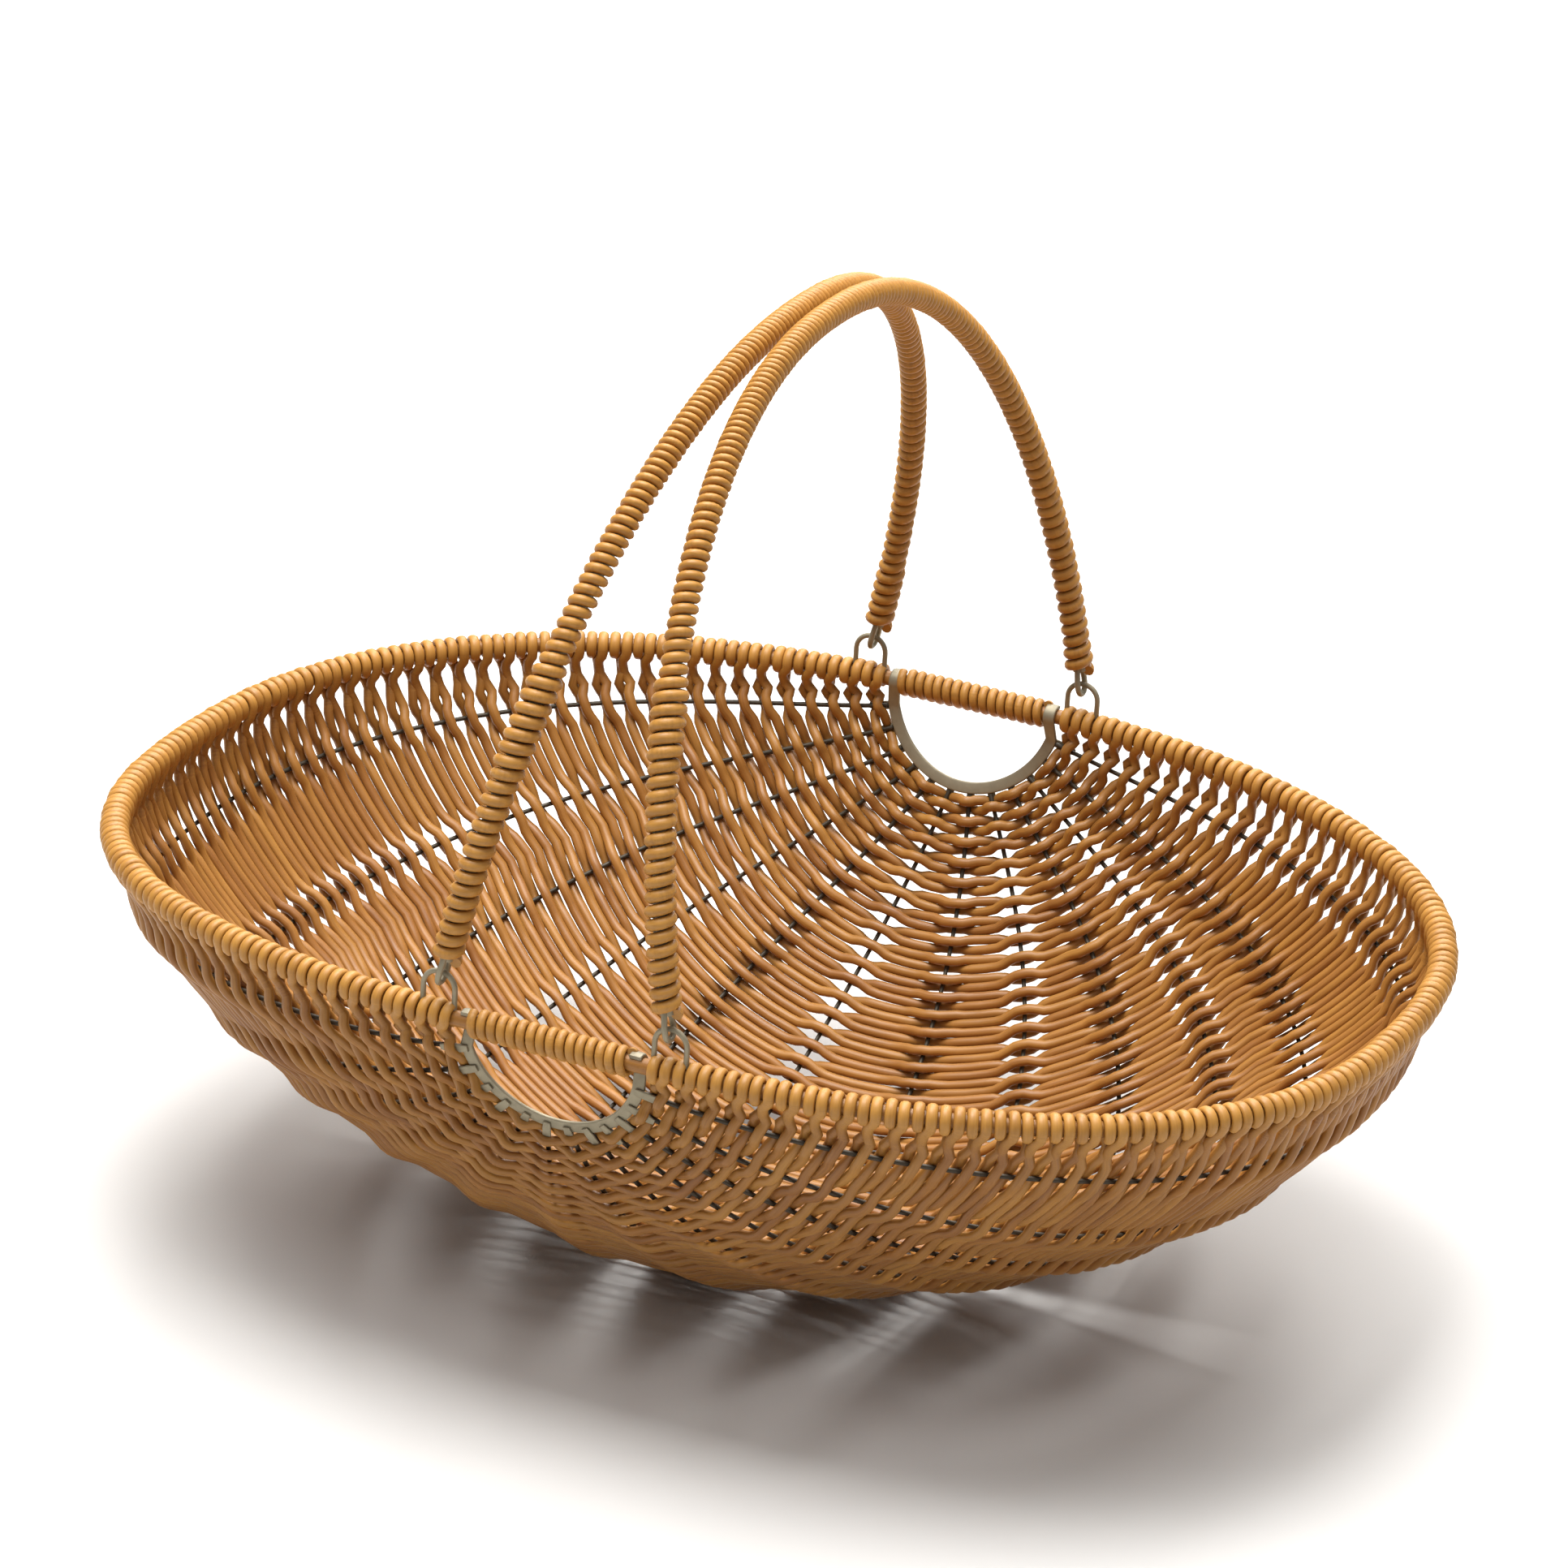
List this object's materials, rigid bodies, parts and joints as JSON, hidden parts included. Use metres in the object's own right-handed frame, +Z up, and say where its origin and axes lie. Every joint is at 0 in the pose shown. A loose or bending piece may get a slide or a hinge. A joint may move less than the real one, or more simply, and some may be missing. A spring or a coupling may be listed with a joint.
{
  "type": "oval frame basket",
  "caption": "Oval open basket woven from plastic cane over wire ribs, with half-round hand holes and arched swing handles wound with cane.",
  "frame": {"origin": "centre of the bounding box, at the flat floor that the basket stands on", "axes": "+X along the rim's long side, +Y from the front hand hole to the back one, +Z up"},
  "size_m": [0.452, 0.3358, 0.3303],
  "materials": {
    "cane_gold": "satin",
    "cane_brown": "satin",
    "dull_steel": "dull"
  },
  "bodies": {
    "basket": {"rim_hoop": "cane_gold", "rib_wire_01": "dull_steel", "rib_wire_02": "dull_steel", "rib_wire_03": "dull_steel", "rib_wire_04": "dull_steel", "rib_wire_05": "dull_steel", "rib_wire_06": "dull_steel", "rib_wire_07": "dull_steel", "rib_wire_08": "dull_steel", "rib_wire_09": "dull_steel", "rib_wire_10": "dull_steel", "rib_wire_11": "dull_steel", "rib_wire_12": "dull_steel", "weaver_band_01": "cane_brown", "weaver_band_02": "cane_brown", "weaver_band_03": "cane_brown", "weaver_band_04": "cane_brown", "weaver_band_05": "cane_brown", "weaver_band_06": "cane_brown", "weaver_band_07": "cane_brown", "weaver_band_08": "cane_brown", "weaver_band_09": "cane_brown", "weaver_band_10": "cane_brown", "weaver_band_11": "cane_brown", "weaver_band_12": "cane_brown", "weaver_band_13": "cane_brown", "weaver_band_14": "cane_brown", "weaver_band_15": "cane_brown", "weaver_band_16": "cane_brown", "weaver_band_17": "cane_brown", "weaver_band_18": "cane_brown", "front_hole_strip": "dull_steel", "back_hole_strip": "dull_steel", "front_grip_winding": "cane_gold", "back_grip_winding": "cane_gold", "front_left_staple": "dull_steel", "front_right_staple": "dull_steel", "back_left_staple": "dull_steel", "back_right_staple": "dull_steel"},
    "left_handle": {"left_handle_rod": "dull_steel", "left_handle_winding": "cane_gold"},
    "right_handle": {"right_handle_rod": "dull_steel", "right_handle_winding": "cane_gold"}
  },
  "joints": [
    {"name": "left_handle_swing", "type": "hinge", "parent": "basket", "child": "left_handle", "pos_m": [-0.04, 0, 0.14295], "axis": [0, -1, 0], "range_deg": [0, 97]},
    {"name": "right_handle_swing", "type": "hinge", "parent": "basket", "child": "right_handle", "pos_m": [0.04, 0, 0.14295], "axis": [0, 1, 0], "range_deg": [0, 96]}
  ]
}
